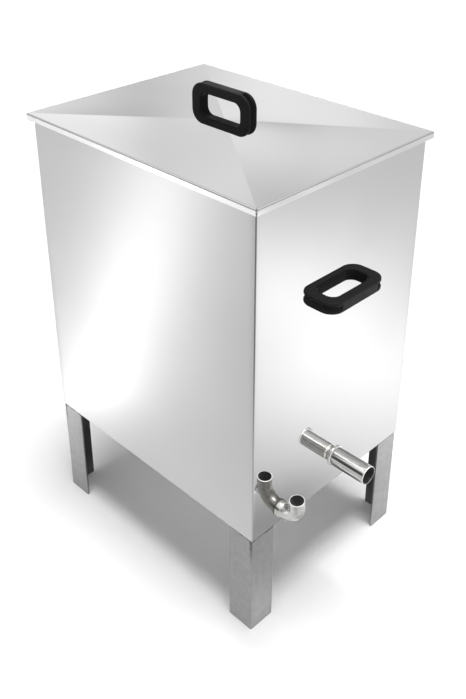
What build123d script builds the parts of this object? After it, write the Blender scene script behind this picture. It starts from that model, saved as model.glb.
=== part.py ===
from build123d import *
import os

# Wax melting boiler: a folded stainless tank on four angle legs, with a lift-off lid, a lift-out comb
# basket, a wax outlet with a slip-on sleeve and a water filler with a swivelling elbow.
# Millimetres, +Z up, +X towards the pipes, origin on the floor under the middle of the whole object.

# Tank
TANK_LENGTH = 500.0
TANK_WIDTH = 380.0
TANK_HEIGHT = 580.0
SHEET = 1.5
FOLD_RADIUS = 2.5
RIM_ROLL = 6.0
RIM_ROLL_HEIGHT = 7.0
SKIRT_DEPTH = 30.0
WELD_GAP = 0.1

# Legs
LEG_HEIGHT = 200.0
LEG_FLANGE = 50.0
LEG_THICKNESS = 4.0

# Lid
LID_OVERHANG = 9.0
LID_SHEET = 1.2
LID_FLANGE = 10.0
LID_RISE = 4.0
LID_SEAT_GAP = 0.3
LID_CORNER_SLIT = 3.0
LID_HANDLE_FORWARD = (26.0, -28.0)

# Moulded ring handles
HANDLE_LENGTH = 124.0
HANDLE_REACH = 66.0
HANDLE_THICKNESS = 18.0
HANDLE_CORNER = 22.0
HANDLE_OPENING = (86.0, 38.0)
HANDLE_OPENING_CORNER = 13.0
HANDLE_BASE_BAR = 13.0
HANDLE_EDGE = 1.5
HANDLE_GROOVE_WIDTH = 9.0
HANDLE_GROOVE_DEPTH = 9.0
HANDLE_BED = 1.5
SIDE_HANDLE_Y = 42.0
SIDE_HANDLE_HEIGHT = 412.0

# Handle bolts, metric six
BOLT_RADIUS = 3.0
BOLT_CLEARANCE = 0.3
BOLT_SPACING = 60.0
BOLT_LENGTH = 12.0
BOLT_HEAD_FLATS = 10.0
BOLT_HEAD_HEIGHT = 4.0
WASHER_RADIUS = 9.0
WASHER_THICKNESS = 1.6

# Wax outlet
OUTLET_Y = -72.0
OUTLET_HEIGHT = 140.0
OUTLET_RADIUS = 12.9
OUTLET_WALL = 1.5
OUTLET_LENGTH = 83.0
OUTLET_NECK = (50.0, 56.0)
OUTLET_NECK_DEPTH = 0.7
SLEEVE_START = 59.0
SLEEVE_END = 125.0
SLEEVE_BORE = 13.0
SLEEVE_RADIUS = 15.0
SLEEVE_BEAD_RADIUS = 17.0
SLEEVE_BEAD_LENGTH = 4.0

# Water filler
FILLER_CORNER_INSET = 13.0
FILLER_AXIS_HEIGHT = 94.0
FILLER_RADIUS = 11.5
FILLER_WALL = 1.5
FILLER_BEND = 28.0
FILLER_MOUTH = 12.0
FILLER_STANDOFF = 12.0
FILLER_COLLAR_RADIUS = 13.5
FILLER_COLLAR_LENGTH = 2.5
FILLER_SEAL = 1.5
FILLER_JOINT_LENGTH = 12.0
FILLER_RUNNING_GAP = 0.05
FILLER_END_GAP = 0.1
FILLER_TILT = 6.0
STUB_RADIUS = 8.0
STUB_WALL = 1.5
STUB_RISE = 12.0
STUB_INSIDE = 4.0

# Wax pan and steam passages
PAN_SHEET = 1.2
PAN_FALL = 20.0
PAN_SIDE_RISE = 12.0
PAN_LIP = 8.0
PAN_GAP = 0.4
RISER_RADIUS = 30.0
RISER_WALL = 1.5
RISER_SPREAD = 120.0
RISER_Y = 70.0
RISER_TOP = 170.0
RISER_LENGTH = 34.0
CAP_RADIUS = 42.0
CAP_SHEET = 1.2
CAP_LIFT = 9.0
CAP_TAB = (12.0, 20.0)

# Comb basket
BASKET_LENGTH = 470.0
BASKET_WIDTH = 350.0
BASKET_HEIGHT = 330.0
BASKET_BASE = 190.0
BASKET_SHEET = 1.2
HOLE_RADIUS = 5.0
HOLE_PITCH = 22.0
HOLE_MARGIN = 24.0
RAIL_LEG = 25.0
RAIL_THICKNESS = 3.0
RAIL_LENGTH = 440.0
RIM_BAR = (3.0, 16.0)
POST_LEG = 20.0
POST_THICKNESS = 2.0
LUG_SPACING = 120.0
LUG_SIZE = (14.0, 3.0, 16.0)
BAIL_WIRE = 3.0
BAIL_DROP = 62.0
BAIL_WIDTH = 100.0
BAIL_END = 8.0
BAIL_BENDS = (6.0, 14.0)
BAIL_RUNNING_GAP = 0.05

# Levels and walls worked out from the sizes above
TANK_X = (HANDLE_REACH - SLEEVE_END) / 2
LEFT = TANK_X - TANK_LENGTH / 2
RIGHT = TANK_X + TANK_LENGTH / 2
FRONT = -TANK_WIDTH / 2
BACK = TANK_WIDTH / 2
SKIRT_Z = LEG_HEIGHT
RIM_Z = LEG_HEIGHT + TANK_HEIGHT
FLOOR_Z = LEG_HEIGHT + SKIRT_DEPTH
INNER_LENGTH = TANK_LENGTH - 2 * SHEET
INNER_WIDTH = TANK_WIDTH - 2 * SHEET
OUTLET_Z = SKIRT_Z + OUTLET_HEIGHT
FILLER_Y = FRONT + FILLER_CORNER_INSET
FILLER_Z = SKIRT_Z + FILLER_AXIS_HEIGHT
FILLER_JOINT_X = RIGHT + FILLER_STANDOFF + FILLER_BEND
HANDLE_Z = SKIRT_Z + SIDE_HANDLE_HEIGHT
BASKET_Z = SKIRT_Z + BASKET_BASE
BASKET_TOP = BASKET_Z + BASKET_HEIGHT
BAIL_Z = BASKET_TOP - LUG_SIZE[2] / 2
BAIL_INSET = BASKET_SHEET + RIM_BAR[0] + 8.0


def save(shape, node):
    """Write one piece to its own STEP file."""
    shape.label = node
    export_step(shape, f"parts/{node}.step")


def block(low, high):
    """A box between two opposite corners."""
    size = [b - a for a, b in zip(low, high)]
    middle = [(a + b) / 2 for a, b in zip(low, high)]
    return Pos(*middle) * Box(*size)


def rod_x(start, end, y, z, radius):
    """A round bar along X."""
    return Pos((start + end) / 2, y, z) * Rot(0, 90, 0) * Cylinder(radius, end - start)


def rod_z(x, y, low, high, radius):
    """A round bar along Z."""
    return Pos(x, y, (low + high) / 2) * Cylinder(radius, high - low)


def rounded_block(length, width, low, high, radius, x=0.0, y=0.0):
    """An upright block with rounded vertical edges."""
    outline = RectangleRounded(length, width, radius)
    return extrude(Pos(x, y, low) * outline, high - low)


def pyramid(length, width, base, rise, x):
    """A four-sided pyramid: the cross-broken top of the lid."""
    sheet = Pos(x, 0, base) * Rectangle(length, width)
    return loft([sheet.face(), Vertex(x, 0, base + rise)], ruled=True)


def side_plane(wall_x, y, outward):
    """The plane of a handle on an end wall: its x runs along Y, its y up and its z outwards."""
    return Plane((wall_x, y, HANDLE_Z), x_dir=(0, outward, 0), z_dir=(outward, 0, 0))


def bolt_places(plane):
    """The two bolt axes of a handle, on the face that carries it."""
    half = BOLT_SPACING / 2
    return [plane.location * Pos(side * half, 0, 0) for side in (-1, 1)]


def tank_shell(handle_planes):
    """The wrapped walls, with a rolled rim, and holes for the pipes and the handle bolts."""
    walls = rounded_block(TANK_LENGTH, TANK_WIDTH, SKIRT_Z, RIM_Z, FOLD_RADIUS, TANK_X)
    roll = rounded_block(
        TANK_LENGTH + 2 * RIM_ROLL,
        TANK_WIDTH + 2 * RIM_ROLL,
        RIM_Z - RIM_ROLL_HEIGHT,
        RIM_Z,
        FOLD_RADIUS + RIM_ROLL,
        TANK_X,
    )
    roll = fillet(roll.edges().filter_by(Axis.Z, reverse=True), RIM_ROLL_HEIGHT * 0.35)
    hollow = rounded_block(INNER_LENGTH, INNER_WIDTH, SKIRT_Z - 1, RIM_Z + 1, FOLD_RADIUS - SHEET, TANK_X)
    shell = walls + roll - hollow
    through = (RIGHT - 2 * SHEET, RIGHT + SHEET)
    shell -= rod_x(*through, OUTLET_Y, OUTLET_Z, OUTLET_RADIUS + WELD_GAP)
    shell -= rod_x(*through, FILLER_Y, FILLER_Z + STUB_RISE, STUB_RADIUS + WELD_GAP)
    for plane in handle_planes:
        for place in bolt_places(plane):
            shell -= place * Cylinder(BOLT_RADIUS + BOLT_CLEARANCE, 4 * SHEET)
    return shell


def tank_floor():
    """The plate that closes the water space, set up inside the skirt."""
    return rounded_block(
        INNER_LENGTH - 2 * WELD_GAP,
        INNER_WIDTH - 2 * WELD_GAP,
        FLOOR_Z,
        FLOOR_Z + SHEET,
        FOLD_RADIUS,
        TANK_X,
    )


def leg(x_side, y_side):
    """An angle leg welded into a corner of the skirt."""
    corner_x = TANK_X + x_side * INNER_LENGTH / 2
    corner_y = y_side * INNER_WIDTH / 2
    angle = rounded_block(2 * LEG_FLANGE, 2 * LEG_FLANGE, 0, FLOOR_Z, FOLD_RADIUS)
    angle -= block(
        (-LEG_FLANGE + LEG_THICKNESS, -LEG_FLANGE + LEG_THICKNESS, -1),
        (LEG_FLANGE + 1, LEG_FLANGE + 1, FLOOR_Z + 1),
    )
    angle &= block((-LEG_FLANGE, -LEG_FLANGE, 0), (0, 0, FLOOR_Z))
    turn = {(-1, -1): 0, (1, -1): 90, (1, 1): 180, (-1, 1): 270}[(x_side, y_side)]
    shift = LEG_FLANGE
    return Pos(corner_x - x_side * shift, corner_y - y_side * shift, 0) * Rot(0, 0, turn) * angle


def pan_level(x, y):
    """The height of the wax pan's upper face at a point."""
    run = INNER_LENGTH - 2 * PAN_GAP
    along = (RIGHT - SHEET - PAN_GAP - x) / run * PAN_FALL
    edge = BACK if y > OUTLET_Y else FRONT
    across = (y - OUTLET_Y) / (edge - OUTLET_Y) * PAN_SIDE_RISE
    return OUTLET_Z - OUTLET_RADIUS + OUTLET_WALL + along + across


def wax_pan():
    """The fixed sloping pan: two flaps that fall to a valley, which falls to the wax outlet."""
    start = LEFT + SHEET + PAN_GAP
    end = RIGHT - SHEET - PAN_GAP
    half = INNER_WIDTH / 2 - PAN_GAP
    valley = pan_level(start, OUTLET_Y)
    lip_foot = PAN_SIDE_RISE
    lip_top = PAN_SIDE_RISE + PAN_LIP
    section = [
        (-half, lip_top),
        (-half + PAN_SHEET, lip_top),
        (-half + PAN_SHEET, lip_foot),
        (OUTLET_Y, 0),
        (half - PAN_SHEET, lip_foot),
        (half - PAN_SHEET, lip_top),
        (half, lip_top),
        (half, lip_foot - PAN_SHEET),
        (OUTLET_Y, -PAN_SHEET),
        (-half, lip_foot - PAN_SHEET),
    ]
    corners = [(start, y, valley + z) for y, z in section]
    face = Face(Wire.make_polygon(corners, close=True))
    fall = Vector(end - start, 0, -PAN_FALL)
    pan = extrude(face, amount=fall.length, dir=fall.normalized())
    for side in (-1, 1):
        x = TANK_X + side * RISER_SPREAD
        pan -= rod_z(x, RISER_Y, SKIRT_Z, BASKET_Z, RISER_RADIUS + WELD_GAP)
    return pan


def steam_riser(side):
    """A short pipe that lets steam up through the wax pan."""
    x = TANK_X + side * RISER_SPREAD
    top = SKIRT_Z + RISER_TOP
    outside = rod_z(x, RISER_Y, top - RISER_LENGTH, top, RISER_RADIUS)
    return outside - rod_z(x, RISER_Y, top - RISER_LENGTH - 1, top + 1, RISER_RADIUS - RISER_WALL)


def steam_cap(side):
    """The drip cap over a steam riser, on three tabs outside the pipe."""
    x = TANK_X + side * RISER_SPREAD
    top = SKIRT_Z + RISER_TOP + CAP_LIFT
    cap = rod_z(x, RISER_Y, top, top + CAP_SHEET, CAP_RADIUS)
    tab_width, tab_length = CAP_TAB
    face = RISER_RADIUS + WELD_GAP
    tab = block((face, -tab_width / 2, top - tab_length), (face + CAP_SHEET, tab_width / 2, top))
    for turn in (90, 210, 330):
        cap += Pos(x, RISER_Y, 0) * Rot(0, 0, turn) * tab
    return cap


def basket_rail(side):
    """An angle on a long wall that the basket stands on."""
    wall = side * INNER_WIDTH / 2
    start = TANK_X - RAIL_LENGTH / 2
    end = TANK_X + RAIL_LENGTH / 2
    ledge = block(
        (start, min(wall, wall - side * RAIL_LEG), BASKET_Z - RAIL_THICKNESS),
        (end, max(wall, wall - side * RAIL_LEG), BASKET_Z),
    )
    flange = block(
        (start, min(wall, wall - side * RAIL_THICKNESS), BASKET_Z),
        (end, max(wall, wall - side * RAIL_THICKNESS), BASKET_Z + RAIL_LEG),
    )
    return ledge + flange


def wax_outlet_pipe():
    """The pipe welded through the wall at the low end of the wax pan."""
    start = RIGHT - SHEET
    end = RIGHT + OUTLET_LENGTH
    pipe = rod_x(start, end, OUTLET_Y, OUTLET_Z, OUTLET_RADIUS)
    neck = [RIGHT + place for place in OUTLET_NECK]
    pipe -= rod_x(*neck, OUTLET_Y, OUTLET_Z, OUTLET_RADIUS + 1)
    pipe += rod_x(*neck, OUTLET_Y, OUTLET_Z, OUTLET_RADIUS - OUTLET_NECK_DEPTH)
    return pipe - rod_x(start - 1, end + 1, OUTLET_Y, OUTLET_Z, OUTLET_RADIUS - OUTLET_WALL)


def wax_outlet_sleeve():
    """The slip-on end of the outlet, with a rolled bead where it meets the pipe."""
    start = RIGHT + SLEEVE_START
    end = RIGHT + SLEEVE_END
    bead = rod_x(start, start + SLEEVE_BEAD_LENGTH, OUTLET_Y, OUTLET_Z, SLEEVE_BEAD_RADIUS)
    bead = fillet(bead.edges().filter_by(GeomType.CIRCLE), SLEEVE_BEAD_LENGTH * 0.35)
    sleeve = rod_x(start, end, OUTLET_Y, OUTLET_Z, SLEEVE_RADIUS) + bead
    return sleeve - rod_x(start - 1, end + 1, OUTLET_Y, OUTLET_Z, SLEEVE_BORE)


def quarter_bend(joint_x, outward, radius):
    """A solid quarter bend from a horizontal end at joint_x up to a mouth that faces up."""
    section = Plane((joint_x, FILLER_Y, FILLER_Z), z_dir=(1, 0, 0)) * Circle(radius)
    pivot = Axis((joint_x, FILLER_Y, FILLER_Z + FILLER_BEND), (0, -outward, 0))
    bend = revolve(section, pivot, 90)
    mouth_x = joint_x + outward * FILLER_BEND
    top = FILLER_Z + FILLER_BEND
    return bend + rod_z(mouth_x, FILLER_Y, top, top + FILLER_MOUTH, radius)


def filler_inner_elbow():
    """The fixed elbow beside the wall: an open mouth above, a collar and a spigot at the joint."""
    joint = FILLER_JOINT_X
    bore = FILLER_RADIUS - FILLER_WALL
    end = joint + FILLER_JOINT_LENGTH - FILLER_END_GAP
    elbow = quarter_bend(joint, -1, FILLER_RADIUS)
    elbow += rod_x(joint, joint + FILLER_COLLAR_LENGTH, FILLER_Y, FILLER_Z, FILLER_COLLAR_RADIUS)
    elbow += rod_x(joint, end, FILLER_Y, FILLER_Z, FILLER_RADIUS)
    elbow -= quarter_bend(joint, -1, bore)
    elbow -= rod_x(joint, end + 1, FILLER_Y, FILLER_Z, bore)
    mouth_x = joint - FILLER_BEND
    top = FILLER_Z + FILLER_BEND + FILLER_MOUTH
    elbow -= rod_z(mouth_x, FILLER_Y, top - FILLER_MOUTH, top + 1, bore)
    return elbow - rod_x(RIGHT, mouth_x, FILLER_Y, FILLER_Z + STUB_RISE, STUB_RADIUS - STUB_WALL)


def filler_stub():
    """The short pipe that ties the fixed elbow to the water space."""
    start = RIGHT - SHEET - STUB_INSIDE
    end = RIGHT + FILLER_STANDOFF
    level = FILLER_Z + STUB_RISE
    stub = rod_x(start, end, FILLER_Y, level, STUB_RADIUS)
    stub -= rod_x(start - 1, end + 1, FILLER_Y, level, STUB_RADIUS - STUB_WALL)
    return stub - quarter_bend(FILLER_JOINT_X, -1, FILLER_RADIUS)


def filler_seal():
    """The flat ring gasket between the collar and the swivelling socket."""
    start = FILLER_JOINT_X + FILLER_COLLAR_LENGTH
    end = start + FILLER_SEAL
    ring = rod_x(start, end, FILLER_Y, FILLER_Z, FILLER_COLLAR_RADIUS - FILLER_RUNNING_GAP)
    return ring - rod_x(start - 1, end + 1, FILLER_Y, FILLER_Z, FILLER_RADIUS + FILLER_RUNNING_GAP)


def filler_outer_elbow():
    """The swivelling elbow: a socket over the spigot and a mouth to fill or drain through."""
    start = FILLER_JOINT_X + FILLER_COLLAR_LENGTH + FILLER_SEAL + FILLER_END_GAP
    joint = FILLER_JOINT_X + FILLER_JOINT_LENGTH
    shoulder = joint + FILLER_WALL
    bore = FILLER_RADIUS - FILLER_WALL
    elbow = quarter_bend(joint, 1, FILLER_RADIUS)
    elbow += rod_x(start, shoulder, FILLER_Y, FILLER_Z, FILLER_COLLAR_RADIUS)
    elbow -= quarter_bend(joint, 1, bore)
    elbow -= rod_x(start - 1, joint, FILLER_Y, FILLER_Z, FILLER_RADIUS + FILLER_RUNNING_GAP)
    mouth_x = joint + FILLER_BEND
    top = FILLER_Z + FILLER_BEND + FILLER_MOUTH
    elbow -= rod_z(mouth_x, FILLER_Y, top - FILLER_MOUTH, top + 1, bore)
    return elbow.rotate(Axis((0, FILLER_Y, FILLER_Z), (1, 0, 0)), FILLER_TILT)


def ring_handle():
    """A moulded ring grip that stands on z = 0, long along x, with a groove round each short end."""
    upright = Plane.XZ.offset(-HANDLE_THICKNESS / 2)
    outline = Pos(0, HANDLE_REACH / 2) * RectangleRounded(HANDLE_LENGTH, HANDLE_REACH, HANDLE_CORNER)
    opening_length, opening_height = HANDLE_OPENING
    opening = Pos(0, HANDLE_BASE_BAR + opening_height / 2) * RectangleRounded(
        opening_length, opening_height, HANDLE_OPENING_CORNER
    )
    ring = extrude(upright * (outline - opening), HANDLE_THICKNESS)
    faces = ring.faces().sort_by(Axis.Y)
    ring = fillet(faces[0].edges() + faces[-1].edges(), HANDLE_EDGE)
    depth = HANDLE_GROOVE_DEPTH
    web = Pos(0, HANDLE_REACH / 2) * RectangleRounded(
        HANDLE_LENGTH - 2 * depth, HANDLE_REACH - 2 * depth, HANDLE_CORNER - depth
    )
    groove_plane = Plane.XZ.offset(-HANDLE_GROOVE_WIDTH / 2)
    groove = extrude(groove_plane * (outline - web), HANDLE_GROOVE_WIDTH)
    straight = HANDLE_LENGTH - 2 * HANDLE_CORNER
    groove -= Pos(0, 0, HANDLE_REACH / 2) * Box(straight, 2 * HANDLE_THICKNESS, 2 * HANDLE_REACH)
    ring -= groove
    for place in bolt_places(Plane.XY):
        ring -= place * Cylinder(BOLT_RADIUS + BOLT_CLEARANCE, 2 * BOLT_LENGTH)
    return ring


def handle_bolts(plane, sheet):
    """Two hex bolts from behind the sheet into the foot of a handle."""
    seat = -sheet - WASHER_THICKNESS
    head = RegularPolygon(BOLT_HEAD_FLATS / 2, 6, major_radius=False)
    bolt = extrude(Pos(0, 0, seat - BOLT_HEAD_HEIGHT) * head, BOLT_HEAD_HEIGHT)
    bolt += rod_z(0, 0, seat, BOLT_LENGTH - 1, BOLT_RADIUS)
    return Compound(children=[place * bolt for place in bolt_places(plane)])


def handle_washers(plane, sheet):
    """Two wide washers under the bolt heads."""
    washer = rod_z(0, 0, -sheet - WASHER_THICKNESS, -sheet, WASHER_RADIUS)
    washer -= rod_z(0, 0, -sheet - WASHER_THICKNESS - 1, 1, BOLT_RADIUS + BOLT_CLEARANCE)
    return Compound(children=[place * washer for place in bolt_places(plane)])


def lid_form(inset):
    """The lid's outside, or its hollow when inset by the sheet: a flanged tray under a pyramid."""
    length = TANK_LENGTH + 2 * (LID_OVERHANG - inset)
    width = TANK_WIDTH + 2 * (LID_OVERHANG - inset)
    edge = RIM_Z + LID_SEAT_GAP + LID_SHEET - inset
    foot = RIM_Z + LID_SEAT_GAP + LID_SHEET - LID_FLANGE - inset
    flange = block((TANK_X - length / 2, -width / 2, foot), (TANK_X + length / 2, width / 2, edge))
    return flange + pyramid(length, width, edge, LID_RISE, TANK_X)


def lid_panel(plane):
    """The cross-broken lid with turned-down flanges, slit at the corners, drilled for its handle."""
    lid = lid_form(0) - lid_form(LID_SHEET)
    foot = RIM_Z + LID_SEAT_GAP + LID_SHEET - LID_FLANGE
    slit = Box(4 * LID_OVERHANG, LID_CORNER_SLIT, LID_FLANGE - LID_SHEET)
    for x_side in (-1, 1):
        for y_side in (-1, 1):
            corner = Pos(
                TANK_X + x_side * (TANK_LENGTH / 2 + LID_OVERHANG),
                y_side * (TANK_WIDTH / 2 + LID_OVERHANG),
                foot + (LID_FLANGE - LID_SHEET) / 2 - LID_SHEET,
            )
            lid -= corner * Rot(0, 0, 45 * x_side * y_side) * slit
    for place in bolt_places(plane):
        lid -= place * Cylinder(BOLT_RADIUS + BOLT_CLEARANCE, 10 * LID_SHEET)
    return lid


def perforated(length, height):
    """A flat sheet with a square grid of round holes, lying in XY about the origin."""
    counts = [int((size - 2 * HOLE_MARGIN) // HOLE_PITCH) + 1 for size in (length, height)]
    outline = Wire.make_rect(length, height)
    holes = [
        Wire.make_circle(HOLE_RADIUS).moved(place)
        for place in GridLocations(HOLE_PITCH, HOLE_PITCH, *counts).locations
    ]
    return extrude(Face(outline, holes), BASKET_SHEET, dir=(0, 0, 1))


def basket_wall(side):
    """A long perforated wall of the basket."""
    panel = perforated(BASKET_LENGTH, BASKET_HEIGHT)
    outer = side * BASKET_WIDTH / 2
    middle = (BASKET_Z + BASKET_TOP) / 2
    return Plane((TANK_X, outer, middle), x_dir=(1, 0, 0), z_dir=(0, -side, 0)).location * panel


def basket_end(side):
    """A short perforated wall of the basket, between the long ones."""
    panel = perforated(BASKET_WIDTH - 2 * BASKET_SHEET, BASKET_HEIGHT)
    outer = TANK_X + side * BASKET_LENGTH / 2
    middle = (BASKET_Z + BASKET_TOP) / 2
    return Plane((outer, 0, middle), x_dir=(0, 1, 0), z_dir=(-side, 0, 0)).location * panel


def basket_floor():
    """The perforated floor of the basket, inside its walls."""
    panel = perforated(BASKET_LENGTH - 2 * BASKET_SHEET, BASKET_WIDTH - 2 * BASKET_SHEET)
    return Pos(TANK_X, 0, BASKET_Z) * panel


def basket_rim():
    """The flat bar that stiffens the basket's mouth, inside its walls."""
    bar, depth = RIM_BAR
    length = BASKET_LENGTH - 2 * BASKET_SHEET
    width = BASKET_WIDTH - 2 * BASKET_SHEET
    middle = Pos(TANK_X, 0, BASKET_TOP - depth / 2)
    return middle * (Box(length, width, depth) - Box(length - 2 * bar, width - 2 * bar, 2 * depth))


def basket_post(x_side, y_side):
    """An angle in a corner of the basket, from its floor to its rim."""
    corner_x = x_side * (BASKET_LENGTH / 2 - BASKET_SHEET)
    corner_y = y_side * (BASKET_WIDTH / 2 - BASKET_SHEET)
    low = BASKET_Z + BASKET_SHEET
    high = BASKET_TOP - RIM_BAR[1]
    height = high - low
    strips = []
    for along_x, along_y in ((POST_LEG, POST_THICKNESS), (POST_THICKNESS, POST_LEG)):
        strips.append(Pos(-x_side * along_x / 2, -y_side * along_y / 2, 0) * Box(along_x, along_y, height))
    return Pos(TANK_X + corner_x, corner_y, (low + high) / 2) * (strips[0] + strips[1])


def bail_axis_x(side):
    """The X of the hinge of the bail at one end of the basket."""
    return TANK_X + side * (BASKET_LENGTH / 2 - BAIL_INSET)


def bail_lugs(side):
    """Two drilled lugs on the rim bar that carry one bail."""
    lug_reach, lug_thickness, lug_height = LUG_SIZE
    face = TANK_X + side * (BASKET_LENGTH / 2 - BASKET_SHEET - RIM_BAR[0])
    lug = Box(lug_reach, lug_thickness, lug_height)
    hole = Rot(90, 0, 0) * Cylinder(BAIL_WIRE + BAIL_RUNNING_GAP, 2 * lug_thickness)
    lugs = []
    for y in (-LUG_SPACING / 2, LUG_SPACING / 2):
        body = Pos(face - side * lug_reach / 2, y, BAIL_Z) * lug
        lugs.append(body - Pos(bail_axis_x(side), y, BAIL_Z) * hole)
    return Compound(children=lugs)


def bail(side):
    """A wire bail that hangs inside the end of the basket from its two lugs."""
    x = bail_axis_x(side)
    end = LUG_SPACING / 2 + BAIL_END
    half = BAIL_WIDTH / 2
    route = [
        (x, -end, BAIL_Z),
        (x, -half, BAIL_Z),
        (x, -half, BAIL_Z - BAIL_DROP),
        (x, half, BAIL_Z - BAIL_DROP),
        (x, half, BAIL_Z),
        (x, end, BAIL_Z),
    ]
    tight, wide = BAIL_BENDS
    path = FilletPolyline(*route, radius=[tight, wide, wide, tight])
    section = Plane(route[0], z_dir=(0, 1, 0)) * Circle(BAIL_WIRE)
    return sweep(section, path)


os.makedirs("parts", exist_ok=True)

left_handle_plane = side_plane(LEFT, SIDE_HANDLE_Y, -1)
right_handle_plane = side_plane(RIGHT, -SIDE_HANDLE_Y, 1)
lid_apex = RIM_Z + LID_SEAT_GAP + LID_SHEET + LID_RISE
lid_handle_x, lid_handle_y = LID_HANDLE_FORWARD
lid_handle_plane = Plane((TANK_X + lid_handle_x, lid_handle_y, lid_apex - HANDLE_BED))

save(tank_shell([left_handle_plane, right_handle_plane]), "tank_shell")
save(tank_floor(), "tank_floor")
for y_side, y_name in ((-1, "front"), (1, "back")):
    for x_side, x_name in ((-1, "left"), (1, "right")):
        save(leg(x_side, y_side), f"leg_{y_name}_{x_name}")
        save(basket_post(x_side, y_side), f"basket_post_{y_name}_{x_name}")
    save(basket_rail(y_side), f"basket_rail_{y_name}")
    save(basket_wall(y_side), f"basket_{y_name}")
for x_side, x_name in ((-1, "left"), (1, "right")):
    save(steam_riser(x_side), f"steam_riser_{x_name}")
    save(steam_cap(x_side), f"steam_cap_{x_name}")
    save(basket_end(x_side), f"basket_{x_name}")
    save(bail_lugs(x_side), f"bail_lugs_{x_name}")
    save(bail(x_side), f"bail_{x_name}")
save(basket_floor(), "basket_floor")
save(basket_rim(), "basket_rim")
save(wax_pan(), "wax_pan")
save(wax_outlet_pipe(), "wax_outlet_pipe")
save(wax_outlet_sleeve(), "wax_outlet_sleeve")
save(filler_stub(), "filler_stub")
save(filler_inner_elbow(), "filler_inner_elbow")
save(filler_seal(), "filler_seal")
save(filler_outer_elbow(), "filler_outer_elbow")

handle = ring_handle()
for name, plane in (("left", left_handle_plane), ("right", right_handle_plane)):
    save(plane.location * handle, f"handle_{name}")
    save(handle_bolts(plane, SHEET), f"handle_bolts_{name}")
    save(handle_washers(plane, SHEET), f"handle_washers_{name}")
save(lid_panel(lid_handle_plane), "lid_panel")
save(lid_handle_plane.location * handle - lid_form(0), "lid_handle")
save(handle_bolts(lid_handle_plane, LID_SHEET), "lid_handle_bolts")
save(handle_washers(lid_handle_plane, LID_SHEET), "lid_handle_washers")
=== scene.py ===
import bmesh
import bpy
import numpy as np
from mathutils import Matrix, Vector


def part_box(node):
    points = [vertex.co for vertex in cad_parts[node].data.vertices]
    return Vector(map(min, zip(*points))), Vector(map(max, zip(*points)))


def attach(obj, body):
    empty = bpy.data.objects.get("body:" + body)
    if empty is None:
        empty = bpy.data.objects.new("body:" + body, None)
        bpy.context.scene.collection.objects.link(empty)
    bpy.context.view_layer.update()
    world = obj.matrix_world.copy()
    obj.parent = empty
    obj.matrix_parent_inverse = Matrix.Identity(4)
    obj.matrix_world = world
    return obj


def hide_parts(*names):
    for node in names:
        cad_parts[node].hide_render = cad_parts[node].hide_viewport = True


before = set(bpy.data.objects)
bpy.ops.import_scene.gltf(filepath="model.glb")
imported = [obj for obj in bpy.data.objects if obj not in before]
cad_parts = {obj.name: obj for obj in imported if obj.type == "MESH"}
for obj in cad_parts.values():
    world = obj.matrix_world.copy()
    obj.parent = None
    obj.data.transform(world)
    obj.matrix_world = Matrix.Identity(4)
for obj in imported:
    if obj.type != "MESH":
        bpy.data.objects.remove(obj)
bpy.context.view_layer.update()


# The tank wall: one stainless sheet, bright outside and dull inside, with the inside painted paler as light,
# folded round four corners and welded shut at a back corner. Its rim is rolled outwards, its foot runs on
# below the floor plate as a skirt, and the rest hangs on it.
def skin(points, close_rows=False, close_columns=False):
    """Quads of a grid: point (i, j) joins (i+1, j), (i+1, j+1) and (i, j+1), and a closed side wraps."""
    rows, columns = points.shape[:2]
    i = np.arange(rows if close_rows else rows - 1)[:, None]
    j = np.arange(columns if close_columns else columns - 1)[None, :]
    below, beside = (i + 1) % rows, (j + 1) % columns
    quads = [i * columns + j, below * columns + j, below * columns + beside, i * columns + beside]
    return points.reshape(-1, 3), np.stack(quads, -1).reshape(-1, 4)


crease = np.radians(32)


def closed_mesh(name, skins, lining=()):
    """Stacks skins in one mesh: points nearer than a micrometre become one, slivers go, faces turn outwards,
    and an edge bent by more than the crease angle stays crisp. The skins of a lining take the second
    finish."""
    parts = [*skins, *lining]
    starts = np.cumsum([0] + [len(points) for points, _ in parts])
    points = np.vstack([points for points, _ in parts])
    faces = sum(((np.asarray(quads) + start).tolist() for (_, quads), start in zip(parts, starts)), [])
    mesh = bpy.data.meshes.new(name)
    mesh.from_pydata(points.tolist(), [], faces)
    outside = sum(len(quads) for _, quads in skins)
    finishes = mesh.attributes.new("material_index", "INT", "FACE")
    finishes.data.foreach_set("value", (np.arange(len(faces)) >= outside).astype(np.int32))
    shell = bmesh.new()
    shell.from_mesh(mesh)
    bmesh.ops.remove_doubles(shell, verts=shell.verts, dist=1e-6)
    bmesh.ops.dissolve_degenerate(shell, edges=shell.edges, dist=1e-7)
    bmesh.ops.recalc_face_normals(shell, faces=shell.faces)
    shell.to_mesh(mesh)
    shell.free()
    mesh.shade_smooth()
    mesh.set_sharp_from_angle(angle=crease)
    return mesh


def make_piece(name, skins, finish, body, slot, stands_for=(), lining=(), lining_finish=None):
    """A finished piece from its skins, and from a lining if it has one, riding on its body in place of its
    solids. Handles and tubes leave no image in the steel around them."""
    mesh = closed_mesh(name, skins, lining)
    mesh.materials.append(finish)
    if lining:
        mesh.materials.append(lining_finish)
    piece = bpy.data.objects.new(name, mesh)
    bpy.context.scene.collection.objects.link(piece)
    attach(piece, body)
    if stands_for:
        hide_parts(*stands_for)
    piece.visible_glossy = slot not in ("handle_plastic", "tube_steel")
    return piece


def add_node(tree, kind, inputs=None, **settings):
    """A node of this kind: settings are its own properties, and an input is linked to a socket or set."""
    made = tree.nodes.new(kind)
    for key, value in settings.items():
        setattr(made, key, value)
    for key, value in (inputs or {}).items():
        if isinstance(value, bpy.types.NodeSocket):
            tree.links.new(value, made.inputs[key])
        else:
            made.inputs[key].default_value = value
    return made


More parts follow.
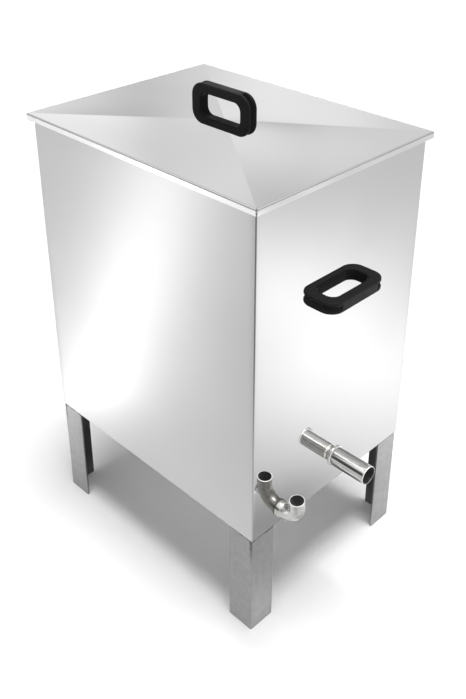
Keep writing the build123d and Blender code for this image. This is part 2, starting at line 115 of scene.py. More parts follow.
def new_finish(name, stretch=(1, 1, 1)):
    """An empty finish: its material, its node tree, its shader, and the object coordinates, as they are and
    stretched along each axis."""
    material = bpy.data.materials.new(name)
    material.use_nodes = True
    tree = material.node_tree
    place = add_node(tree, "ShaderNodeTexCoord").outputs["Object"]
    stretched = add_node(tree, "ShaderNodeMapping", {"Vector": place, "Scale": stretch})
    return material, tree, tree.nodes["Principled BSDF"], place, stretched.outputs["Vector"]


def new_group(name, inputs, outputs):
    """An effect that several finishes share: a node group with the named sockets, and its two end nodes."""
    tree = bpy.data.node_groups.new(name, "ShaderNodeTree")
    for in_out, sockets in (("INPUT", inputs), ("OUTPUT", outputs)):
        for label, socket in sockets.items():
            tree.interface.new_socket(label, in_out=in_out, socket_type=socket)
    return tree, tree.nodes.new("NodeGroupInput").outputs, tree.nodes.new("NodeGroupOutput").inputs


def place_group(tree, group, inputs):
    """The shared effect inside one finish, with that finish's own values."""
    return add_node(tree, "ShaderNodeGroup", inputs, node_tree=group).outputs


def ramp(tree, value, low, high, to_low, to_high):
    """A smooth step: to_low below low, to_high above high, and a smooth slope between them."""
    inputs = {"Value": value, "From Min": low, "From Max": high, "To Min": to_low, "To Max": to_high}
    return add_node(tree, "ShaderNodeMapRange", inputs, interpolation_type="SMOOTHSTEP").outputs["Result"]


def blend_colours(tree, share, first, second):
    """The first colour where share is 0 and the second where it is 1."""
    mix = add_node(tree, "ShaderNodeMix", data_type="RGBA")
    tree.links.new(share, mix.inputs["Factor"])
    for socket, colour in ((mix.inputs[6], first), (mix.inputs[7], second)):
        if isinstance(colour, bpy.types.NodeSocket):
            tree.links.new(colour, socket)
        else:
            socket.default_value = (*colour, 1)
    return mix.outputs[2]


def math_node(tree, operation, first, second):
    """One sum on two values or sockets."""
    return add_node(tree, "ShaderNodeMath", {0: first, 1: second}, operation=operation).outputs[0]


def product(tree, first, second):
    """Two values multiplied."""
    return math_node(tree, "MULTIPLY", first, second)


def size_of(tree, value):
    """A value without its sign."""
    return math_node(tree, "ABSOLUTE", value, 0.0)


def emboss(tree, shader, height, strength, depth):
    """A relief too fine to model, which only tilts the light: a height map at a strength and a depth."""
    bump = add_node(tree, "ShaderNodeBump", {"Strength": strength, "Distance": depth, "Height": height})
    tree.links.new(bump.outputs["Normal"], shader.inputs["Normal"])


def coat(tree, shader, colour, roughness, metal=1):
    """Joins a colour and a roughness to a shader, as bare metal unless metal is 0."""
    tree.links.new(colour, shader.inputs["Base Color"])
    tree.links.new(roughness, shader.inputs["Roughness"])
    shader.inputs["Metallic"].default_value = metal


rolled_grain, grain_in, grain_out = new_group(
    "rolled_grain",
    {"Along The Grain": "NodeSocketVector", "Place": "NodeSocketVector"},
    {"Streaks": "NodeSocketFloat", "Clouds": "NodeSocketFloat"},
)
streaks = add_node(
    rolled_grain,
    "ShaderNodeTexNoise",
    {"Vector": grain_in["Along The Grain"], "Scale": 1.0, "Detail": 3.0, "Roughness": 0.6},
)
clouds = add_node(
    rolled_grain,
    "ShaderNodeTexNoise",
    {"Vector": grain_in["Place"], "Scale": 5.0, "Detail": 2.0, "Roughness": 0.5},
)
rolled_grain.links.new(streaks.outputs["Fac"], grain_out["Streaks"])
rolled_grain.links.new(clouds.outputs["Fac"], grain_out["Clouds"])


def bright_sheet(name, stretch, tone, gloss, flange_top=-1.0, long_side=1.0, corner=9.0):
    """Bright rolled stainless: an even grey metal whose gloss varies in fine streaks and wide soft clouds. A
    flange, below flange_top, is painted paler as a highlight, most where it faces the long sides, at
    long_side from the middle. A folded corner, where the two distances from the middle add up to corner,
    is painted darker as a line of shade, most near the top and not on the rolled rim. The values given by
    default lie off the part."""
    material, tree, shader, place, stretched = new_finish(name, stretch)
    grain = place_group(tree, rolled_grain, {"Along The Grain": stretched, "Place": place})
    cloud = ramp(tree, grain["Clouds"], 0.3, 0.7, 0, 1)
    colour = blend_colours(tree, cloud, [tone * 0.98] * 3, [tone * 1.02] * 3)
    apart = add_node(tree, "ShaderNodeSeparateXYZ", {"Vector": place}).outputs
    from_x = size_of(tree, math_node(tree, "SUBTRACT", apart["X"], tank_x))
    from_y = size_of(tree, apart["Y"])
    # Painted highlight: the flange below flange_top is painted paler, most on the long sides.
    painted_flange_highlight = ramp(tree, apart["Z"], flange_top - 0.0006, flange_top, 1, 0)
    facing_side = ramp(tree, from_y, long_side - 0.003, long_side - 0.002, 0, 1)
    pale = blend_colours(tree, facing_side, [0.56] * 3, [0.76] * 3)
    out = math_node(tree, "ADD", from_x, from_y)
    # Painted shade: a dark line down each folded corner, strongest near the top.
    on_fold_line = ramp(tree, out, corner - 0.0021, corner - 0.0013, 0, 1)
    under_rim = rim - roll_deep - 0.0015
    below_roll = product(tree, on_fold_line, ramp(tree, apart["Z"], under_rim - 0.001, under_rim, 1, 0))
    painted_fold_shade = product(tree, below_roll, ramp(tree, apart["Z"], 0.25, 0.6, 0, 0.88))
    sheet_tone = blend_colours(tree, painted_fold_shade, blend_colours(tree, painted_flange_highlight, colour, pale), [tone * 0.3] * 3)
    fine = ramp(tree, grain["Streaks"], 0.25, 0.75, gloss - 0.01, gloss + 0.015)
    wide = ramp(tree, grain["Clouds"], 0.3, 0.7, -0.01, 0.01)
    coat(tree, shader, sheet_tone, math_node(tree, "ADD", fine, wide))
    emboss(tree, shader, grain["Streaks"], 0.002, 0.0004)
    return material


def rounded_rectangle(half_x, half_y, radius, side_shares, corner_steps):
    """Points and outward directions round a rectangle with quarter-circle corners, anticlockwise: corner k
    turns from 90k to 90k + 90 degrees about its own centre, and straight runs, cut at the given shares, join
    them."""
    turns = np.radians(np.arange(4)[:, None] * 90 + np.linspace(0, 90, corner_steps + 1))
    outward = np.stack([np.cos(turns), np.sin(turns)], -1)
    centres = np.array([[1, 1], [-1, 1], [-1, -1], [1, -1]]) * (half_x - radius, half_y - radius)
    arcs = centres[:, None] + radius * outward
    ends, starts = arcs[:, -1:], np.roll(arcs[:, :1], -1, axis=0)
    runs = ends + (starts - ends) * np.asarray(side_shares)[:, None]
    facing = np.repeat(outward[:, -1:], len(side_shares), 1)
    points, directions = np.concatenate([arcs, runs], 1), np.concatenate([outward, facing], 1)
    return points.reshape(-1, 2), directions.reshape(-1, 2)


def sheet_waves(across, up, depth):
    """The slow unevenness of thin sheet: two long sine waves, across from -1 to 1 and up from 0 to 1, that
    die at the edges."""
    fade = np.clip(1 - across**2, 0, 1) * np.clip(4 * up * (1 - up), 0, 1)
    return depth * fade * (np.sin(2.3 * across + 4.1 * up) + 0.6 * np.sin(5.2 * across - 3.3 * up + 1.0))


sheet, fold, roll_out, roll_deep = 0.0015, 0.0018, 0.006, 0.007
cut_edge, wall_rows, roll_rows = 0.0004, 60, 13
low, high = (np.array(corner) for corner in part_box("tank_shell"))
tank_x = (low[0] + high[0]) / 2
half_length, half_width = (high[:2] - low[:2]) / 2 - roll_out
left, right, front, back = tank_x - half_length, tank_x + half_length, -half_width, half_width
skirt, rim = low[2], high[2]

ring, outward = rounded_rectangle(half_length, half_width, fold, np.linspace(0, 1, 49)[1:-1], 6)
roll_turn = np.radians(np.linspace(-90, 90, roll_rows))
wall_rise = np.linspace(skirt + cut_edge, rim - roll_deep - 0.001, wall_rows)
step_out = np.r_[
    -cut_edge,
    np.zeros(wall_rows),
    2 * cut_edge,
    roll_out - roll_deep / 2 + roll_deep / 2 * np.cos(roll_turn),
    -sheet + cut_edge,
    np.full(wall_rows + 1, -sheet),
    -sheet + cut_edge,
]
level = np.r_[
    skirt,
    wall_rise,
    rim - roll_deep,
    rim - roll_deep / 2 + roll_deep / 2 * np.sin(roll_turn),
    rim,
    rim - cut_edge,
    wall_rise[::-1],
    skirt,
]
on_end = np.abs(outward[:, 0]) > 0.99
across = np.where(on_end, ring[:, 1] / half_width, ring[:, 0] / half_length)
across = np.where(np.abs(outward).max(1) > 0.99, across, 1.0)
signed_across = across[None] * np.sign(outward.sum(1))
waves = sheet_waves(signed_across, ((level - skirt) / (rim - skirt))[:, None], 0.00035)
around = ring[None] + outward[None] * (step_out[:, None] + waves)[..., None]
wall = np.concatenate([around, np.broadcast_to(level[:, None, None], around.shape[:2] + (1,))], -1)
wall[..., 0] += tank_x


def dull_sheet(name, stretch, tone, gloss):
    """Unpolished stainless: a flat grey metal with clouded gloss and faint streaks of the given tone."""
    material, tree, shader, place, stretched = new_finish(name, stretch)
    grain = place_group(tree, rolled_grain, {"Along The Grain": stretched, "Place": place})
    streak = ramp(tree, grain["Streaks"], 0.3, 0.7, 0, 1)
    colour = blend_colours(tree, streak, [tone * 0.92] * 3, [tone * 1.06] * 3)
    cloud = ramp(tree, grain["Clouds"], 0.3, 0.7, gloss - 0.05, gloss + 0.07)
    coat(tree, shader, colour, cloud)
    emboss(tree, shader, grain["Streaks"], 0.1, 0.0004)
    return material


# The wall's folded corners take the painted line of shade of the bright sheet.
wall_steel = bright_sheet("wall_steel", (6, 6, 900), 0.46, 0.22, corner=half_length + half_width)
# The inside finish is paler than the outside: painted light for the shaded inside of the tank.
inner_sheet_painted_light = dull_sheet("inner_sheet_painted_light", (5, 300, 5), 0.74, 0.55)
rim_row = 1 + wall_rows + 1 + roll_rows + 1
tank_wall = make_piece(
    "tank_wall",
    [skin(wall[: rim_row + 1], False, True)],
    wall_steel,
    "tank",
    "tank_steel",
    ["tank_shell"],
    lining=[skin(np.concatenate([wall[rim_row:], wall[:1]]), False, True)],
    lining_finish=inner_sheet_painted_light,
)


def tube_skin(centre, side, upright, radius, steps):
    """A round skin: at each centre a circle of that radius, laid out by its side and upright directions."""
    turn = np.linspace(0, 2 * np.pi, steps, endpoint=False)
    spoke = side[:, None] * np.cos(turn)[:, None] + upright[:, None] * np.sin(turn)[:, None]
    return skin(centre[:, None] + np.asarray(radius)[:, None, None] * spoke, False, True)


def turned_skin(middle, axis, along, radius, steps):
    """A turned skin: circles of the given radii at the given distances along an axis through the middle."""
    axis = np.asarray(axis, float)
    side = np.roll(axis, 1)
    count = len(along)
    centre = np.asarray(middle) + np.asarray(along)[:, None] * axis
    upright = np.tile(np.cross(axis, side), (count, 1))
    return tube_skin(centre, np.tile(side, (count, 1)), upright, radius, steps)


def pierce(piece, cutter):
    """Cuts a closed skin out of a piece, and keeps the cut mesh as its own."""
    tool = bpy.data.objects.new("cutter", closed_mesh("cutter", [cutter]))
    bpy.context.scene.collection.objects.link(tool)
    cut = piece.modifiers.new("cut", "BOOLEAN")
    cut.operation, cut.solver, cut.object = "DIFFERENCE", "EXACT", tool
    bpy.context.view_layer.update()
    piece.data = bpy.data.meshes.new_from_object(piece.evaluated_get(bpy.context.evaluated_depsgraph_get()))
    piece.modifiers.clear()
    bpy.data.objects.remove(tool)


past_sheet, pipe_way = 0.004, (1, 0, 0)
for pipe, radius in (("wax_outlet_pipe", 0.013), ("filler_stub", 0.0081)):
    low, high = (np.array(corner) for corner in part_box(pipe))
    middle = (right, (low[1] + high[1]) / 2, (low[2] + high[2]) / 2)
    reach = past_sheet * np.array([-1, -1, 1, 1])
    pierce(tank_wall, turned_skin(middle, pipe_way, reach, np.array([0, radius, radius, 0]), 48))


# The floor plate of the water space: plain stainless sheet set up inside the skirt and welded all round.
# It stays as the solid makes it, with the dull finish of the wall's inside, painted paler as light.
def dress(finish, *nodes):
    """Gives plain solids that stay in view a finish."""
    for name in nodes:
        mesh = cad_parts[name].data
        mesh.materials.clear()
        mesh.materials.append(finish)


dress(inner_sheet_painted_light, "tank_floor")


# The legs: four lengths of rolled steel angle, square cut, welded into the corners of the skirt.
# They keep the mill's dull grey skin, with rounded toes, a rounded root and dark marks from welding at the
# top, with a painted shadow line along the top edge and painted shade on the inner faces.
def bow(x, y, radius, start, end, steps=5):
    """Points of a circular arc about (x, y), from one angle to another in degrees."""
    turn = np.radians(np.linspace(start, end, steps + 1))
    return np.stack([x + radius * np.cos(turn), y + radius * np.sin(turn)], -1)


def drawn_bar(section, along, inset, place):
    """A drawn bar: a closed section carried along a line, drawn in by the inset at each step along its own
    outward normals, with flat ends. place turns (across, over, along) into points of the frame."""
    tangent = np.roll(section, -1, 0) - np.roll(section, 1, 0)
    normal = np.stack([tangent[:, 1], -tangent[:, 0]], -1)
    normal /= np.linalg.norm(normal, axis=1, keepdims=True)
    rows = section[None] - np.asarray(inset)[:, None, None] * normal[None]
    points = place(rows[..., 0], rows[..., 1], np.broadcast_to(np.asarray(along)[:, None], rows.shape[:2]))
    ends = [(points[end], [list(range(len(section)))]) for end in (0, -1)]
    return [skin(points, False, True), *ends]


def vector_node(tree, operation, first, second):
    """One sum on two vectors: SUBTRACT gives a vector, DISTANCE and DOT_PRODUCT give a number."""
    made = add_node(tree, "ShaderNodeVectorMath", {0: first, 1: second}, operation=operation)
    return made.outputs["Vector" if operation == "SUBTRACT" else "Value"]


def leg_finish():
    """Rolled angle: grey metal with long upright streaks and clouded gloss, scale and heat marks by the root
    under the skirt, a painted shadow line along the top edge, and painted shade darkening the inner
    faces."""
    material, tree, shader, place, stretched = new_finish("leg_steel", (90, 90, 4))
    grain = place_group(tree, rolled_grain, {"Along The Grain": stretched, "Place": place})
    streak = ramp(tree, grain["Streaks"], 0.25, 0.75, 0, 1)
    patch = add_node(tree, "ShaderNodeTexNoise", {"Vector": place, "Scale": 90.0, "Detail": 4.0})
    mottle = ramp(tree, patch.outputs["Fac"], 0.3, 0.7, 0, 1)
    colour = blend_colours(tree, mottle, blend_colours(tree, streak, [0.28] * 3, [0.295] * 3), [0.32] * 3)
    middle = vector_node(tree, "SUBTRACT", place, (tank_x, 0, 0))
    apart = add_node(tree, "ShaderNodeSeparateXYZ", {"Vector": middle}).outputs
    from_x, from_y = (size_of(tree, apart[axis]) for axis in "XY")
    ragged = ramp(tree, patch.outputs["Fac"], 0.3, 0.7, -0.002, 0.002)
    edge = math_node(tree, "ADD", apart["Z"], ragged)
    corner = math_node(tree, "ADD", math_node(tree, "ADD", from_x, from_y), ragged)
    outermost = half_length + half_width - 2 * sheet
    by_root = ramp(tree, corner, outermost - 0.007, outermost - 0.003, 0, 0.7)
    on_side = ramp(tree, from_y, half_width - sheet - 0.0012, half_width - sheet - 0.0004, 0, 1)
    burn = product(tree, product(tree, by_root, ramp(tree, edge, 0.14, 0.19, 0, 1)), on_side)
    # burn is marks from welding; the thin dark line along the top edge is painted shadow under the skirt.
    weld_marks_and_painted_shadow_line = math_node(tree, "MAXIMUM", burn, ramp(tree, edge, 0.195, 0.1985, 0, 0.9))
    marked_and_shadow_lined = blend_colours(tree, weld_marks_and_painted_shadow_line, colour, (0.04, 0.038, 0.036))
    # Painted shade: the inner faces of each angle are darkened.
    in_x = ramp(tree, from_x, half_length - 0.0052, half_length - 0.0045, 1, 0)
    in_y = ramp(tree, from_y, half_width - 0.0052, half_width - 0.0045, 1, 0)
    painted_inner_shade = product(tree, product(tree, in_x, in_y), 0.85)
    cloud = ramp(tree, grain["Clouds"], 0.3, 0.7, 0.42, 0.52)
    coat(tree, shader, blend_colours(tree, painted_inner_shade, marked_and_shadow_lined, (0.1, 0.098, 0.095)), cloud)
    emboss(tree, shader, patch.outputs["Fac"], 0.15, 0.0005)
    return material


leg_steel = leg_finish()
flange, thick, root, toe = 0.05, 0.004, 0.004, 0.0015
angle_section = np.concatenate(
    [
        bow(flange - cut_edge, cut_edge, cut_edge, -90, 0, 3),
        bow(flange - toe, thick - toe, toe, 0, 90),
        bow(thick + root, thick + root, root, 270, 180, 6),
        bow(thick - toe, flange - toe, toe, 0, 90),
        bow(cut_edge, flange - cut_edge, cut_edge, 90, 180, 3),
        bow(fold, fold, fold, 180, 270, 6),
    ]
)
leg_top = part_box("leg_front_left")[1].z
leg_rise = [0, cut_edge, *np.linspace(0.002, leg_top - 0.002, 24), leg_top - cut_edge, leg_top]
leg_inset = [cut_edge, *np.zeros(26), cut_edge]
for end, corner_x, x_turn in (("left", left + sheet, 1), ("right", right - sheet, -1)):
    for side, corner_y, y_turn in (("front", front + sheet, 1), ("back", back - sheet, -1)):
        bar = drawn_bar(
            angle_section,
            leg_rise,
            leg_inset,
            lambda a, b, z: np.stack([corner_x + x_turn * a, corner_y + y_turn * b, z], -1),
        )
        make_piece(f"angle_leg_{side}_{end}", bar, leg_steel, "tank", "leg_steel", [f"leg_{side}_{end}"])


# The tack welds under the skirt: short rippled beads run into the step between the sheet's edge and a leg.
# They are filler metal left as it set, at both ends of every flange.
def bead_skin(start, end, upright, radius, ripples):
    """A weld bead: an egg-ended rod whose radius swells and dips along its length with each ripple."""
    start, end, upright = (np.asarray(v, float) for v in (start, end, upright))
    rows = 25
    share = (1 - np.cos(np.linspace(0, np.pi, rows))) / 2
    egg = np.sqrt(np.clip(1 - (2 * share - 1) ** 4, 0, 1))
    swell = egg * (1 + 0.14 * np.cos(2 * np.pi * ripples * share))
    axis = (end - start) / np.linalg.norm(end - start)
    centre = start + (end - start) * share[:, None]
    side = np.cross(upright, axis)
    return tube_skin(centre, np.tile(side, (rows, 1)), np.tile(upright, (rows, 1)), radius * swell, 10)


beads = []
bead_level, tack_radius, tack_ripples = skirt - 0.0002, 0.0011, 6
for corner_x, x_turn in ((left, 1), (right, -1)):
    for corner_y, y_turn in ((front, 1), (back, -1)):
        inner_x, inner_y = corner_x + x_turn * sheet * 0.9, corner_y + y_turn * sheet * 0.9
        for tack in ((0.006, 0.017), (0.034, 0.047)):
            run_x = [(corner_x + x_turn * place, inner_y, bead_level) for place in tack]
            run_y = [(inner_x, corner_y + y_turn * place, bead_level) for place in tack]
            beads += [bead_skin(*ends, (0, 0, 1), tack_radius, tack_ripples) for ends in (run_x, run_y)]
make_piece("leg_tacks", beads, leg_steel, "tank", "leg_steel")


# The wax pan, the steam risers with their drip caps, and the rails that carry the basket: folded and rolled
# stainless, welded inside the tank. They stay as the solids make them, with the wall's inside finish,
# painted paler as light.
dress(inner_sheet_painted_light, "wax_pan", "basket_rail_front", "basket_rail_back")
for end in ("left", "right"):
    dress(inner_sheet_painted_light, f"steam_riser_{end}", f"steam_cap_{end}")


# The wax outlet: a drawn stainless tube welded through the end wall at the foot of the pan. A groove is
# rolled round it near its end, and a rippled bead of weld closes it to the wall.
heat_tint, tint_in, tint_out = new_group(
    "heat_tint",
    {"Place": "NodeSocketVector", "Centre": "NodeSocketVector", "Reach": "NodeSocketFloat"},
    {"Mask": "NodeSocketFloat"},
)
from_weld = vector_node(heat_tint, "DISTANCE", tint_in["Place"], tint_in["Centre"])
ragged = add_node(
    heat_tint, "ShaderNodeTexNoise", {"Vector": tint_in["Place"], "Scale": 120.0, "Detail": 2.0}
)
ragged_share = ramp(heat_tint, ragged.outputs["Fac"], 0.3, 0.7, 0.75, 1.25)
spread = product(heat_tint, tint_in["Reach"], ragged_share)
within = math_node(heat_tint, "SUBTRACT", spread, from_weld)
heat_tint.links.new(ramp(heat_tint, within, 0.0, 0.008, 0, 1), tint_out["Mask"])


def tube_finish(name, tone, centre, reach, way=(0, 0, 1), cut=9.0, gloss=0.2):
    """Drawn tube: metal of a given tone with fine long streaks, tinted straw by heat near a weld, and with a
    painted highlight where it was cut, at the distance cut along the given way: a rim painted near white and
    rough. The default lies off the part."""
    material, tree, shader, place, stretched = new_finish(name, (20, 260, 260))
    grain = place_group(tree, rolled_grain, {"Along The Grain": stretched, "Place": place})
    streak = ramp(tree, grain["Streaks"], 0.3, 0.7, 0, 1)
    dark_steel, pale_steel = tone * np.array([[0.92, 0.914, 0.895], [1.08, 1.075, 1.055]])
    colour = blend_colours(tree, streak, dark_steel, pale_steel)
    tint = place_group(tree, heat_tint, {"Place": place, "Centre": centre, "Reach": reach})["Mask"]
    straw = tone * np.array([0.8, 0.76, 0.6])
    tinted = blend_colours(tree, product(tree, tint, 0.35), colour, straw)
    along = vector_node(tree, "DOT_PRODUCT", place, way)
    # Painted highlight: the rim at the cut end is painted near white.
    painted_rim_highlight = ramp(tree, along, cut - 0.0009, cut - 0.0005, 0, 1)
    with_rim_highlight = blend_colours(tree, painted_rim_highlight, tinted, (0.85, 0.85, 0.84))
    fine = ramp(tree, grain["Streaks"], 0.25, 0.75, gloss, gloss + 0.08)
    scaled = math_node(tree, "ADD", fine, product(tree, tint, 0.06))
    rim_roughness = product(tree, painted_rim_highlight, 0.8)
    coat(tree, shader, with_rim_highlight, math_node(tree, "MAXIMUM", scaled, rim_roughness))
    emboss(tree, shader, grain["Streaks"], 0.06, 0.0003)
    return material


low, high = (np.array(corner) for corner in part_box("wax_outlet_pipe"))
outlet_axis = np.array([right, (low[1] + high[1]) / 2, (low[2] + high[2]) / 2])
outlet_radius = (high[2] - low[2]) / 2
outlet_end = high[0] - right
groove_at, groove_half, groove_deep, round_steps = 0.053, 0.0035, 0.0009, 72
outlet_steel = tube_finish("outlet_steel", 0.65, tuple(outlet_axis + (groove_at, 0, 0)), 0.02, gloss=0.1)
groove_turn = np.linspace(0, np.pi, 9)
along = np.r_[
    -sheet,
    -sheet,
    np.linspace(0, groove_at - 0.004, 12),
    groove_at - groove_half * np.cos(groove_turn),
    np.linspace(groove_at + 0.004, outlet_end - cut_edge, 8),
    outlet_end,
    outlet_end,
]
tube_wall = 0.0015
bore = outlet_radius - tube_wall
radius = np.r_[
    bore,
    np.full(13, outlet_radius),
    outlet_radius - groove_deep * np.sin(groove_turn),
    np.full(8, outlet_radius),
    outlet_radius - cut_edge,
    bore,
]
outlet_pipe = turned_skin(outlet_axis, pipe_way, along, radius, round_steps)
bore_along = np.array([outlet_end, outlet_end / 2, -sheet])
outlet_bore = turned_skin(outlet_axis, pipe_way, bore_along, np.full(3, bore), round_steps)
# Painted shade: the bores are painted near black, as the shade inside a tube.
bore_painted_shade = dull_sheet("bore_painted_shade", (200, 200, 200), 0.025, 0.6)


def tube_piece(name, outside, inside, finish, body, node):
    """A tube from its outside and its bore, painted near black as shade."""
    make_piece(name, [outside], finish, body, "tube_steel", [node], [inside], bore_painted_shade)


tube_piece("outlet_pipe", outlet_pipe, outlet_bore, outlet_steel, "tank", "wax_outlet_pipe")


def ring_bead(middle, ring_radius, thickness, ripples):
    """A weld run round a tube: a ring of round section whose thickness ripples along the run."""
    turn = np.linspace(0, 2 * np.pi, 160, endpoint=False)[:, None]
    section = np.linspace(0, 2 * np.pi, 12, endpoint=False)[None]
    swell = thickness * (1 + 0.12 * np.cos(ripples * turn) + 0.06 * np.cos(3 * turn))
    out = ring_radius + swell * np.cos(section)
    points = np.stack([swell * np.sin(section) + 0 * turn, out * np.cos(turn), out * np.sin(turn)], -1)
    return skin(points + np.asarray(middle), True, True)


outlet_weld = ring_bead(outlet_axis, outlet_radius + 0.0003, 0.0012, 46)
make_piece("outlet_weld", [outlet_weld], outlet_steel, "tank", "tube_steel")


# The outlet sleeve: a wider tube pushed over the outlet, with a bead rolled round its inner end and a plain
# cut mouth. It is drawn stainless too, and pulls off to clean.
low, high = (np.array(corner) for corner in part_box("wax_outlet_sleeve"))
sleeve_start, sleeve_end = low[0] - right, high[0] - right
sleeve_radius, sleeve_bore, bead_radius, bead_long = 0.015, 0.013, 0.017, 0.004
mouth_radius = sleeve_radius - 0.0009
sleeve_steel = tube_finish(
    "sleeve_steel", 0.5, tuple(outlet_axis + (sleeve_start, 0, 0)), 0.014, pipe_way, right + sleeve_end, 0.1
)
bead_turn = np.linspace(0, np.pi, 11)
along = np.r_[
    sleeve_start,
    sleeve_start + bead_long / 2 - bead_long / 2 * np.cos(bead_turn),
    sleeve_start + bead_long + np.array([0.0006, 0.0014]),
    np.linspace(sleeve_start + 0.008, sleeve_end - 0.0005, 14),
    sleeve_end - 0.0002,
    sleeve_end,
    sleeve_end,
]
radius = np.r_[
    sleeve_bore,
    sleeve_radius - cut_edge + (bead_radius - sleeve_radius + cut_edge) * np.sin(bead_turn),
    sleeve_radius - 0.0001,
    np.full(15, sleeve_radius),
    sleeve_radius - 0.0001,
    sleeve_radius - 0.0003,
    mouth_radius,
]
outlet_sleeve = turned_skin(outlet_axis, pipe_way, along, radius, round_steps)
bore_along = np.array([sleeve_end, sleeve_end - 0.003, sleeve_start + 0.03, sleeve_start])
bore_radius = np.array([mouth_radius, sleeve_bore, sleeve_bore, sleeve_bore])
sleeve_inside = turned_skin(outlet_axis, pipe_way, bore_along, bore_radius, round_steps)
tube_piece(
    "outlet_sleeve_tube", outlet_sleeve, sleeve_inside, sleeve_steel, "outlet_sleeve", "wax_outlet_sleeve"
)


# The water filler: two bought stainless elbows. The one beside the wall is tied to the tank by a short stub
# and has a collar at its foot; the other slips over its spigot against a rubber ring and turns to drain the
# tank.
low, high = (np.array(corner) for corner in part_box("filler_inner_elbow"))
elbow_radius, elbow_bore, bend, mouth, collar = 0.0115, 0.01, 0.028, 0.012, 0.0135
joint_x = low[0] + bend + elbow_radius
joint = np.array([joint_x, (low[1] + high[1]) / 2, low[2] + collar])
mouth_up = joint[2] + bend + mouth
tilt = np.radians(6)
tilted = (0, -np.sin(tilt), np.cos(tilt))
tilted_up = joint @ tilted + bend + mouth
inner_weld, outer_weld = tuple(joint + (-0.012, 0, 0.012)), tuple(joint + (0.004, 0, 0))
# Painted shade: the fixed elbow's tone, 0.17, is far darker than the swivel elbow's.
inner_elbow_painted_shade = tube_finish("inner_elbow_steel_painted_shade", 0.17, inner_weld, 0.034, cut=mouth_up)
outer_steel = tube_finish("outer_elbow_steel", 0.48, outer_weld, 0.02, tilted, tilted_up)


def elbow_skins(line, radius, bore, turn):
    """A bent tube, as an outside with a rim at each end and a bore: circles about a line in the upright
    plane of the filler, given as (outwards, up) from the joint, square to the line's own direction, then
    turned about the joint's axis by the given degrees."""
    line, count = np.asarray(line, float), len(line)
    heading = np.gradient(line, axis=0)
    heading /= np.linalg.norm(heading, axis=1, keepdims=True)
    c, s = np.cos(np.radians(turn)), np.sin(np.radians(turn))
    roll = np.array([[1, 0, 0], [0, c, s], [0, -s, c]])
    skins = []
    for order, size in (
        ([0, *range(count), count - 1], np.concatenate([bore[:1], radius, bore[-1:]])),
        (range(count - 1, -1, -1), bore[::-1]),
    ):
        order = list(order)
        zero = np.zeros(len(order))
        centre = np.stack([line[order, 0], zero, line[order, 1]], -1)
        square = np.stack([-heading[order, 1], zero, heading[order, 0]], -1)
        points, quads = tube_skin(centre, np.tile((0.0, 1.0, 0.0), (len(order), 1)), square, size, 56)
        skins.append((points @ roll + joint, quads))
    return skins


quarter = np.radians(np.linspace(0, 90, 25))
lip, collar_long, spigot = 0.0003, 0.0025, 0.0119
collar_rows = [0.0001, cut_edge, collar_long - cut_edge, collar_long, collar_long + 0.0001]
inner_line = np.concatenate(
    [
        [[-bend, bend + rise] for rise in (mouth, mouth - lip, mouth / 2)],
        np.stack([-bend * np.cos(quarter), bend - bend * np.sin(quarter)], -1),
        [[out, 0] for out in (*collar_rows, spigot - 0.0001, spigot)],
    ]
)
collar_edge, mouth_edge = collar - cut_edge, elbow_radius - lip
inner_collar = [collar_edge, collar, collar, collar_edge]
inner_radius = np.r_[
    mouth_edge, np.full(27, elbow_radius), inner_collar, elbow_radius, elbow_radius, elbow_radius - 0.0001
]
flare = np.array([0.0007, 0.0006])
inner_bores = np.concatenate([elbow_bore + flare, np.full(len(inner_line) - 2, elbow_bore)])
inner_elbow, inner_bore = elbow_skins(inner_line, inner_radius, inner_bores, 0)
tube_piece("fixed_elbow", inner_elbow, inner_bore, inner_elbow_painted_shade, "tank", "filler_inner_elbow")

socket_start, reach = 0.0041, 0.012
socket_rows = [socket_start, socket_start + cut_edge, reach, reach + 0.0011, reach + 0.0015]
outer_line = np.concatenate(
    [
        [[out, 0] for out in socket_rows],
        np.stack([reach + bend * np.sin(quarter), bend - bend * np.cos(quarter)], -1)[2:],
        [[reach + bend, bend + rise] for rise in (mouth / 2, mouth - lip, mouth)],
    ]
)
outer_radius = np.r_[collar_edge, collar, collar, collar - lip, np.full(26, elbow_radius), mouth_edge]
socket = np.full(3, elbow_radius + 0.00005)
outer_bores = np.concatenate([socket, np.full(len(outer_line) - 5, elbow_bore), elbow_bore + flare[::-1]])
outer_elbow, outer_bore = elbow_skins(outer_line, outer_radius, outer_bores, np.degrees(tilt))
tube_piece("swivel_elbow_tube", outer_elbow, outer_bore, outer_steel, "swivel_elbow", "filler_outer_elbow")

dress(wall_steel, "filler_stub")
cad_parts["filler_stub"].visible_glossy = False


def rubber_finish():
    """Moulded rubber: near black, matt, with a faint bloom."""
    material, tree, shader, place, _ = new_finish("seal_rubber")
    bloom = add_node(tree, "ShaderNodeTexNoise", {"Vector": place, "Scale": 400.0, "Detail": 3.0})
    colour = blend_colours(tree, bloom.outputs["Fac"], (0.022, 0.022, 0.022), (0.04, 0.04, 0.04))
    tree.links.new(colour, shader.inputs["Base Color"])
    shader.inputs["Roughness"].default_value = 0.75
    return material


dress(rubber_finish(), "filler_seal")


